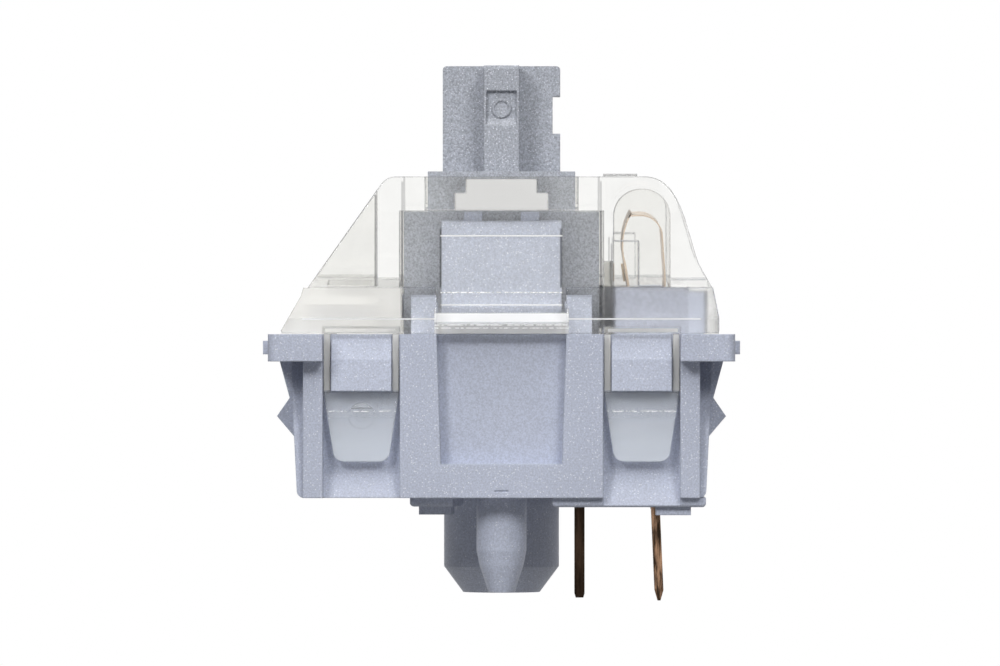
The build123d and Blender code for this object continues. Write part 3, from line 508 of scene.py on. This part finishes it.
# %% [markdown]
# Light through the cover
#
# Light that travels straight to a lamp would stop at a refracting surface and leave the inside
# black. So for shadow rays alone the cover is see-through, with a tint that says how much
# light each place lets through. Rounded and slanted places turn light away: the lip over the
# front panel, the ramps under the roof, the tongues, and any wall that the light only grazes.

# %% Helper: light let through to the lamps
PASS_WALL = (0.69, 0.69, 0.685, 1.0)
PASS_BAND = (0.94, 0.938, 0.93, 1.0)
PASS_TONGUE = (0.30, 0.30, 0.32, 1.0)
PASS_LIP = (0.15, 0.15, 0.16, 1.0)
PASS_RAMP = (0.03, 0.03, 0.03, 1.0)
PASS_GRAZING = (0.38, 0.38, 0.375, 1.0)
LIP_TOP = 7.00 * MM
RAMP_LOW = 10.00 * MM
RAMP_HALF = 1.75 * MM
EVEN_BLEND = 0.5


def light_through(tree, spot):
    """The tint of shadow rays, zone over zone, and less of it where the wall is grazed."""
    lip = between(tree, spot["height"], (BAND_LOW, LIP_TOP), SOFT_STEP)
    above = step_up(tree, spot["height"], RAMP_LOW, SOFT_STEP)
    under_roof = times(tree, above, step_down(tree, spot["reach"], RAMP_HALF, SOFT_STEP))
    grazing = add(tree, "ShaderNodeLayerWeight", {"Blend": EVEN_BLEND}).outputs["Facing"]
    passed = mix_color(tree, spot["band"], PASS_WALL, PASS_BAND)
    passed = mix_color(tree, spot["tongue"], passed, PASS_TONGUE)
    passed = mix_color(tree, times(tree, lip, spot["middle"]), passed, PASS_LIP)
    passed = mix_color(tree, under_roof, passed, PASS_RAMP)
    return mix_color(tree, grazing, passed, PASS_GRAZING)


print("share of light through a clear wall:", PASS_WALL[0])

# %% [markdown]
# The whole cover
#
# Four shaders make the cover: clear plastic, a white diffuse for painted light on the band's
# end, the limbs and the milky tongues and for painted highlights on the fillets, a translucent
# strip over each catch that takes the light behind it, painted light where the real bevel
# shows the backdrop, and the see-through one for shadow rays. The masks from the cells above
# say where each one shows.

# %% Material: clear cover
# Colours of the painted light: warm on the band's end and limbs, cool on the milky tongues.
COVER_PAINTED_LIGHT = (0.88, 0.87, 0.84, 1.0)
COVER_TONGUE_MILK_AND_LIGHT = (0.88, 0.93, 1.0, 1.0)
# White of the painted highlights on the fillets.
COVER_HIGHLIGHT_WHITE = (0.95, 0.955, 0.97, 1.0)
# Painted light: colour of the translucent strip over each catch.
COVER_STRIP_LIGHT = (0.98, 0.98, 0.97, 1.0)
COVER_EDGE_RADIUS = 0.08 * MM
COVER_IOR = 1.5
COVER_BUMP = 0.08
COVER_BUMP_DEPTH = 0.02 * MM
GLOSS_FROM = (0.35, 0.75, 0.01, 0.05)
BAND_ROUGHNESS = 0.22
FOOT_STRIP = (6.13 * MM, 6.25 * MM)
FOOT_STRIP_REACH = (3.55 * MM, 5.90 * MM)


def clear_shader(tree, spot):
    """Clear plastic, rougher on the ends of the foot band, with rounded normals and painted edge
    shade.
    """
    edge = add(tree, "ShaderNodeBevel", {"Radius": COVER_EDGE_RADIUS}, samples=EDGE_SAMPLES)
    flat_normal = add(tree, "ShaderNodeNewGeometry").outputs["True Normal"]
    inputs = {0: edge.outputs[0], 1: flat_normal}
    turned = add(tree, "ShaderNodeVectorMath", inputs, operation="DOT_PRODUCT")
    tint = cover_tint(tree, spot, turned.outputs["Value"])
    band_end = step_up(tree, spot["reach"], CLEAR_HALF, SOFT_STEP)
    rough = times(tree, band_end, spot["band"], BAND_ROUGHNESS)
    gloss = math_node(tree, "ADD", ramp(tree, spot["streaks"], *GLOSS_FROM), rough)
    normal = bumped(tree, COVER_BUMP, COVER_BUMP_DEPTH, spot["streaks"], edge.outputs[0])
    inputs = {"Base Color": tint, "Roughness": gloss, "Normal": normal}
    inputs.update({"IOR": COVER_IOR, "Transmission Weight": 1.0})
    return add(tree, "ShaderNodeBsdfPrincipled", inputs)


def cover_plastic():
    """Clear plastic with painted light, painted fillet highlights and translucent foot strips,
    see-through for shadow rays.
    """
    material, tree, output = new_material("clear cover plastic")
    spot = cover_spot(tree)
    # Painted highlights: the fillets turn white diffuse where this mask is one.
    fillet_highlights = painted_fillet_highlights(tree, spot)
    # Painted light: the band's end, the limbs and the tongues are whitened with the highlights.
    painted_white_share = highest(tree, painted_light_mask(tree, spot), fillet_highlights)
    color = mix_color(tree, spot["tongue"], COVER_PAINTED_LIGHT, COVER_TONGUE_MILK_AND_LIGHT)
    color = mix_color(tree, fillet_highlights, color, COVER_HIGHLIGHT_WHITE)
    painted_light_diffuse = add(tree, "ShaderNodeBsdfDiffuse", {"Color": color})
    # Painted light: over each catch a translucent strip, lit from behind, stands in for the
    # bevel.
    strip = between(tree, spot["height"], FOOT_STRIP, FINE_STEP)
    strip = times(tree, strip, between(tree, spot["reach"], FOOT_STRIP_REACH, FINE_STEP))
    strip_light = add(tree, "ShaderNodeBsdfTranslucent", {"Color": COVER_STRIP_LIGHT})
    through = add(tree, "ShaderNodeBsdfTransparent", {"Color": light_through(tree, spot)})
    body = mix_shaders(tree, painted_white_share, clear_shader(tree, spot), painted_light_diffuse)
    body = mix_shaders(tree, strip, body, strip_light)
    rays = add(tree, "ShaderNodeLightPath")
    mixed = mix_shaders(tree, rays.outputs["Is Shadow Ray"], body, through)
    tree.links.new(mixed.outputs[0], output.inputs["Surface"])
    return material


give("top_housing", cover_plastic())

# %% [markdown]
# The contact metals
#
# The pins are bronze that has gone dark brown, with brighter copper where the tarnish is thin.
# Inside the switch, over the housing's floor, the same strips are still bright. The leaf is a
# thin rolled strip of the same family, clean under the cover, and the spring is drawn steel
# wire. One function makes all of them, from a clean and a dull colour that a noise mixes. The
# noise is stretched along Z, because strip and wire carry the marks of being drawn.

# %% Materials: metals
STREAK_STRETCH = (1.0, 1.0, 0.15)
FILM_DETAIL = 5.0
FILM_ROUGHNESS = 0.65
FILM_SPREAD = 0.4
FILM_FROM = (0.3, 0.7)
ROUGH_LEAST = 0.7
ROUGH_MOST = 1.3
METAL_BUMP = 0.3
METAL_BUMP_DEPTH = 0.01 * MM
INSIDE_METAL = (0.94, 0.93, 0.89, 1.0)
INSIDE_FROM = 1.5 * MM


def worn_metal(name, clean, dull, share, roughness, grain, inside=None):
    """A metal whose clean colour shows through a duller film in streaks along Z.

    Where an inside colour is given, the metal has that colour above the housing's floor."""
    material, tree, output = new_material(name)
    place = add(tree, "ShaderNodeTexCoord").outputs["Object"]
    stretched = add(tree, "ShaderNodeMapping", {"Vector": place, "Scale": STREAK_STRETCH})
    film = noise(tree, stretched.outputs[0], grain, FILM_DETAIL, Roughness=FILM_ROUGHNESS)
    spread = share * FILM_SPREAD
    base = mix_color(tree, ramp(tree, film, 0.5 - spread, 0.5 + spread), clean, dull)
    if inside:
        height = add(tree, "ShaderNodeSeparateXYZ", {"Vector": place}).outputs["Z"]
        base = mix_color(tree, ramp(tree, height, 0.0, INSIDE_FROM), base, inside)
    rough = ramp(tree, film, *FILM_FROM, roughness * ROUGH_LEAST, roughness * ROUGH_MOST)
    normal = bumped(tree, METAL_BUMP, METAL_BUMP_DEPTH, film)
    inputs = {"Base Color": base, "Roughness": rough, "Metallic": 1.0, "Normal": normal}
    shader = add(tree, "ShaderNodeBsdfPrincipled", inputs)
    tree.links.new(shader.outputs[0], output.inputs["Surface"])
    return material


far_pin_bronze = worn_metal(
    "dark pin bronze", (0.055, 0.034, 0.022, 1.0), (0.010, 0.007, 0.005, 1.0),
    share=0.7, roughness=0.36, grain=3500.0, inside=INSIDE_METAL,
)
near_pin_bronze = worn_metal(
    "rubbed pin bronze", (0.40, 0.24, 0.15, 1.0), (0.035, 0.022, 0.014, 1.0),
    share=0.35, roughness=0.34, grain=7000.0, inside=INSIDE_METAL,
)
leaf_copper = worn_metal(
    "leaf copper", (0.88, 0.74, 0.61, 1.0), (0.66, 0.51, 0.39, 1.0),
    share=0.9, roughness=0.3, grain=9000.0,
)
spring_steel = worn_metal(
    "spring steel", (0.72, 0.72, 0.74, 1.0), (0.48, 0.48, 0.50, 1.0),
    share=0.7, roughness=0.28, grain=6000.0,
)
contact_metal = worn_metal(
    "contact metal", (0.88, 0.74, 0.58, 1.0), (0.66, 0.52, 0.38, 1.0),
    share=0.7, roughness=0.3, grain=5000.0,
)
give("fixed_terminal", far_pin_bronze)
give("moving_terminal", near_pin_bronze)
give("fixed_contact_point", contact_metal)
give("moving_contact_point", contact_metal)

# %% [markdown]
# Surfaces on a grid
#
# New pieces are surfaces worked out with numpy. A grid of points, rows along one parameter and
# columns along the other, becomes quads; a closed parameter wraps round to its start. Two
# caps, each a fan about the middle of the end row, close a tube. The volume inside is
# printed, because it is below zero when the faces point inwards.

# %% Helper: a mesh from a grid of points
SHARP_ANGLE = math.radians(35)


def grid_piece(name, points, material):
    """A tube from points[row, column, xyz]: columns wrap round, and both ends are capped.

    Its volume is a sixth of the sum of middle . (diagonal x diagonal) over the quads and of
    a . (b x c) over the caps' triangles."""
    rows, columns, _ = points.shape
    index = np.arange(rows * columns).reshape(rows, columns)
    ahead = np.roll(index, -1, axis=1)
    quads = np.stack([index[:-1], ahead[:-1], ahead[1:], index[1:]], axis=-1).reshape(-1, 4)
    flat = points.reshape(-1, 3)
    first = flat[index[0]].mean(axis=0)
    last = flat[index[-1]].mean(axis=0)
    vertices = np.vstack([flat, first, last])
    start = len(flat)
    low_cap = np.stack([ahead[0], index[0], np.full(columns, start)], axis=-1)
    high_cap = np.stack([index[-1], ahead[-1], np.full(columns, start + 1)], axis=-1)
    caps = np.vstack([low_cap, high_cap])
    faces = quads.tolist() + caps.tolist()
    mesh = bpy.data.meshes.new(name)
    mesh.from_pydata(vertices.tolist(), [], faces)
    mesh.update()
    piece = bpy.data.objects.new(name, mesh)
    bpy.context.scene.collection.objects.link(piece)
    mesh.materials.append(material)
    mesh.polygons.foreach_set("use_smooth", [True] * len(faces))
    mesh.set_sharp_from_angle(angle=SHARP_ANGLE)
    around = flat[quads]
    crossed = np.cross(around[:, 2] - around[:, 0], around[:, 3] - around[:, 1])
    sides = (around.mean(axis=1) * crossed).sum()
    a, b, c = vertices[caps].transpose(1, 0, 2)
    volume = (sides + (a * np.cross(b, c)).sum()) / 6
    print(name, "has", len(faces), "faces; its volume, mm3:", round(float(volume) / MM**3, 3))
    return piece


# %% [markdown]
# The return spring
#
# A compression spring has a few dead coils at each end, wound touching, so that it stands
# square, and open coils between them. Its centre line is a helix whose height is not a
# straight ramp but an eased one: slow over the end coils, fast in the middle. A circle of wire
# is carried along that line, turned to stay square to it.

# %% Piece: return spring
SPRING_RADIUS = 1.95 * MM
SPRING_WIRE = 0.19 * MM
SPRING_COILS = 14
DEAD_COILS = 1.5
DEAD_PITCH = 1.02 * SPRING_WIRE
STEPS_PER_COIL = 48
WIRE_SIDES = 12


def spring_points(low, high):
    """Points = circle of the wire's radius, laid in the plane of the outward and side vectors.

    The centre line is (R cos t, R sin t, z(t)); z climbs by just over a wire's width in each
    dead coil and by an equal larger step in each open coil, and is smoothed over half a coil."""
    turns = np.linspace(0.0, SPRING_COILS, SPRING_COILS * STEPS_PER_COIL + 1)
    dead = [0.0, DEAD_COILS, SPRING_COILS - DEAD_COILS, SPRING_COILS]
    bottom = low + SPRING_WIRE / 2
    top = high - SPRING_WIRE / 2
    levels = [bottom, bottom + DEAD_COILS * DEAD_PITCH, top - DEAD_COILS * DEAD_PITCH, top]
    height = np.interp(turns, dead, levels)
    kernel = np.hanning(STEPS_PER_COIL // 2 + 1)
    padded = np.pad(height, len(kernel) // 2, mode="edge")
    height = np.convolve(padded, kernel / kernel.sum(), mode="valid")
    angle = turns * 2 * math.pi
    outward = np.stack([np.cos(angle), np.sin(angle), np.zeros_like(angle)], axis=-1)
    center = np.column_stack([SPRING_RADIUS * outward[:, :2], height])
    along = np.gradient(center, axis=0)
    along /= np.linalg.norm(along, axis=1, keepdims=True)
    side = np.cross(along, outward)
    side /= np.linalg.norm(side, axis=1, keepdims=True)
    around = np.linspace(0, 2 * math.pi, WIRE_SIDES, endpoint=False)
    ring = (
        outward[:, None, :] * np.cos(around)[None, :, None]
        + side[:, None, :] * np.sin(around)[None, :, None]
    )
    return center[:, None, :] + ring * (SPRING_WIRE / 2)


spring_low, spring_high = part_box("return_spring")
spring = grid_piece("coil_spring", spring_points(spring_low[2], spring_high[2]), spring_steel)
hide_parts("return_spring")
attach(spring, "housing")
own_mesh(spring)

# %% [markdown]
# The contact leaf
#
# The leaf is one strip of thin copper alloy. Its back limb is welded to the moving terminal, it
# comes over the top in a rounded arc, turns down at a sharp fold, and its free limb is pressed
# into a shallow knee. Its lower end is doubled, where the contact is welded on. The strip is a
# thin rectangle carried along that bent line. When the stem goes down only the free limb turns.

# %% Piece: contact leaf
# The corners of the strip's middle line, across the switch and up, and the radius of each bend.
LEAF_LINE = np.array([
    (4.44, 6.50), (4.01, 9.36), (4.34, 9.95), (5.40, 9.99), (5.54, 7.92), (5.54, 5.82)
]) * MM
LEAF_RADII = np.array([2.3, 0.12, 0.72, 2.3]) * MM
LEAF_HALF_WIDTH = 2.20 * MM
LEAF_HALF_THICK = 0.022 * MM
LEAF_DOUBLE_TOP = 8.30 * MM
LEAF_DOUBLED = 2.6
ARC_STEPS = 24


def rounded_line(corners, radii, steps):
    """Straight runs joined by arcs; an arc starts r * tan(turn / 2) before its corner.

    The first run gets points of its own, because the doubled end stops part of the way up."""
    runs = np.diff(corners, axis=0)
    runs = runs / np.linalg.norm(runs, axis=1, keepdims=True)
    parts = [np.linspace(corners[0], corners[1], steps, endpoint=False)[: steps * 2 // 3]]
    for corner, before, after, radius in zip(corners[1:-1], runs[:-1], runs[1:], radii):
        turn = math.atan2(before[0] * after[1] - before[1] * after[0], before @ after)
        first = corner - before * radius * math.tan(abs(turn) / 2)
        inward = np.array([-before[1], before[0]]) * math.copysign(1, turn)
        swept = np.linspace(0, abs(turn), steps)[:, None]
        parts.append(first + radius * (np.sin(swept) * before + (1 - np.cos(swept)) * inward))
    parts.append(corners[-1:])
    return np.vstack(parts)


def leaf_points():
    """Points = line + thickness along the line's normal, one rectangle for each line point.

    The back is moved out by the doubled thickness near the free end."""
    line = rounded_line(LEAF_LINE, LEAF_RADII, ARC_STEPS)
    along = np.gradient(line, axis=0)
    along /= np.linalg.norm(along, axis=1, keepdims=True)
    normal = np.stack([along[:, 1], -along[:, 0]], axis=-1)
    free = np.arange(len(line)) < len(line) // 3
    doubled = free & (line[:, 1] < LEAF_DOUBLE_TOP)
    outer = LEAF_HALF_THICK * np.where(doubled, LEAF_DOUBLED, 1.0)[:, None]
    front = line - normal * LEAF_HALF_THICK
    back = line + normal * outer
    half = LEAF_HALF_WIDTH
    sides = [(-half, front), (half, front), (half, back), (-half, back)]
    columns = [np.column_stack([np.full(len(line), x), edge]) for x, edge in sides]
    return np.stack(columns, axis=1)


leaf = grid_piece("contact_strip", leaf_points(), leaf_copper)
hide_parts("contact_leaf")
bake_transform(leaf)

# %% [markdown]
# The stage
#
# The photograph is a product shot on pure white. The background is white only to the camera
# and to rays that mirror in the part or pass through it, so it adds no light to the object.
# The floor lies well under the pins. It keeps some of its own shading near the object, so that
# a view from above shows a shadow on it.

# %% Stage: floor
FLOOR_Z = -14.0 * MM
FLOOR_HALF = 3.0
WHITE = (1.0, 1.0, 1.0, 1.0)
FLOOR_PALE = (0.78, 0.78, 0.78, 1.0)
FLOOR_PALER = (0.82, 0.82, 0.82, 1.0)
FLOOR_UNSEEN = (0.22, 0.22, 0.22, 1.0)
FLOOR_CLOUDS_PER_METRE = 8.0
FLOOR_ROUGHNESS = 0.9
FLOOR_GLOW = (0.06, 0.18, 0.70, 1.0)


def stage_material():
    """A pale floor that the camera sees as white, with the object's shadow kept.

    Its share of plain white rises with the distance from the middle."""
    material, tree, output = new_material("pale floor")
    place = add(tree, "ShaderNodeTexCoord").outputs["Object"]
    pale = mix_color(tree, noise(tree, place, FLOOR_CLOUDS_PER_METRE), FLOOR_PALE, FLOOR_PALER)
    rays = add(tree, "ShaderNodeLightPath").outputs
    seen = math_node(tree, "ADD", rays["Is Camera Ray"], rays["Is Transmission Ray"])
    seen = math_node(tree, "ADD", seen, rays["Is Glossy Ray"], clamp=True)
    tone = mix_color(tree, seen, FLOOR_UNSEEN, pale)
    inputs = {"Base Color": tone, "Roughness": FLOOR_ROUGHNESS}
    shader = add(tree, "ShaderNodeBsdfPrincipled", inputs)
    reach = add(tree, "ShaderNodeVectorMath", {0: place}, operation="LENGTH").outputs["Value"]
    share = times(tree, seen, ramp(tree, reach, *FLOOR_GLOW))
    glow = add(tree, "ShaderNodeEmission", {"Color": WHITE, "Strength": 1.0})
    mixed = mix_shaders(tree, share, shader, glow)
    tree.links.new(mixed.outputs[0], output.inputs["Surface"])
    return material


def stage_floor():
    """A large flat square, so far under the pins that the photograph's view has no shadow."""
    half = FLOOR_HALF
    corners = [(-half, -half), (half, -half), (half, half), (-half, half)]
    mesh = bpy.data.meshes.new("floor")
    mesh.from_pydata([(x, y, FLOOR_Z) for x, y in corners], [], [(0, 1, 2, 3)])
    floor = bpy.data.objects.new("floor", mesh)
    bpy.context.scene.collection.objects.link(floor)
    mesh.materials.append(stage_material())
    return floor


print("stage:", stage_floor().name)

# %% [markdown]
# The world
#
# The world gives a little even light. Gloss and clear plastic see it white up to the horizon
# and as a dim room above that, because edges of clear plastic need something dark to show.

# %% Stage: world
WORLD_LIGHT = 0.06
ROOM_FROM = (0.12, 0.40, 1.0, 0.36)


def white_world(strength):
    """A dim world for light, that the camera sees as white and clear plastic as a room."""
    world = bpy.data.worlds.new("studio")
    bpy.context.scene.world = world
    world.use_nodes = True
    tree = world.node_tree
    tree.nodes.clear()
    rays = add(tree, "ShaderNodeLightPath").outputs
    through = math_node(tree, "ADD", rays["Is Glossy Ray"], rays["Is Transmission Ray"])
    way = add(tree, "ShaderNodeTexCoord").outputs["Generated"]
    height = add(tree, "ShaderNodeSeparateXYZ", {"Vector": way}).outputs["Z"]
    seen = times(tree, through, ramp(tree, height, *ROOM_FROM))
    seen = math_node(tree, "ADD", seen, rays["Is Camera Ray"], clamp=True)
    dim = add(tree, "ShaderNodeBackground", {"Color": WHITE, "Strength": strength})
    bright = add(tree, "ShaderNodeBackground", {"Color": WHITE, "Strength": 1.0})
    output = tree.nodes.new("ShaderNodeOutputWorld")
    mixed = mix_shaders(tree, seen, dim, bright)
    tree.links.new(mixed.outputs[0], output.inputs["Surface"])
    return world


print("world:", white_world(WORLD_LIGHT).name)

# %% [markdown]
# The lamps
#
# Four square area lamps light the switch: two in front, one behind and a large one overhead.
# Large lamps near the object give soft shadows, as a studio's soft boxes do. Rays that pass
# through the cover don't see the lamps, so that no lamp's square shows in the plastic.

# %% Lamps
MIDDLE = (0.0, 0.0, 6.0 * MM)
# Name, place in metres, side of the square in metres and power in watts.
LAMPS = [
    ("front left lamp", (0.36, -0.19, 0.22), 0.12, 0.70),
    ("front right lamp", (0.37, 0.13, 0.22), 0.12, 0.53),
    ("back lamp", (-0.38, 0.05, 0.24), 0.20, 0.60),
    ("top lamp", (0.18, 0.0, 0.42), 0.40, 1.20),
]


def soft_lamp(name, place, aim, size, power):
    """A square area lamp at one point, turned to face another."""
    data = bpy.data.lights.new(name, "AREA")
    data.size = size
    data.energy = power
    lamp = bpy.data.objects.new(name, data)
    bpy.context.scene.collection.objects.link(lamp)
    lamp.location = place
    across, ahead, up = np.array(aim) - np.array(place)
    tilt = math.atan2(math.hypot(across, ahead), -up)
    lamp.rotation_euler = (tilt, 0, math.atan2(-across, ahead))
    lamp.visible_transmission = False
    return lamp


for name, place, size, power in LAMPS:
    soft_lamp(name, place, MIDDLE, size, power)
    print(name, "gives", power, "W")

# %% [markdown]
# The camera
#
# The photograph was taken from straight in front of one ribbed face, level with the flange
# and from far enough away that the far side is hardly smaller. The lens follows from the
# number of pixels that a metre covers at the switch's middle. The part's axis stands a pixel
# and a half beside the middle of the picture, so the camera is moved over by that much.

# %% Camera
CAMERA_DISTANCE = 340.0 * MM
HORIZON = 6.10 * MM
PIXELS_PER_METRE = 29300.0
IMAGE_WIDTH = 1000
SENSOR = 36.0
AXIS_PIXEL = 501.5
NEAREST_SEEN = 0.01
FARTHEST_SEEN = 20.0
camera_data = bpy.data.cameras.new("camera")
camera_data.sensor_width = SENSOR
camera_data.lens = SENSOR * PIXELS_PER_METRE * CAMERA_DISTANCE / IMAGE_WIDTH
camera_data.clip_start = NEAREST_SEEN
camera_data.clip_end = FARTHEST_SEEN
camera = bpy.data.objects.new("camera", camera_data)
bpy.context.scene.collection.objects.link(camera)
offset = (IMAGE_WIDTH / 2 - AXIS_PIXEL) / PIXELS_PER_METRE
camera.location = (CAMERA_DISTANCE, offset, HORIZON)
camera.rotation_euler = (math.pi / 2, 0, math.pi / 2)
bpy.context.scene.camera = camera
bpy.context.scene.view_settings.view_transform = "Standard"
print("lens, mm:", round(camera_data.lens, 1))
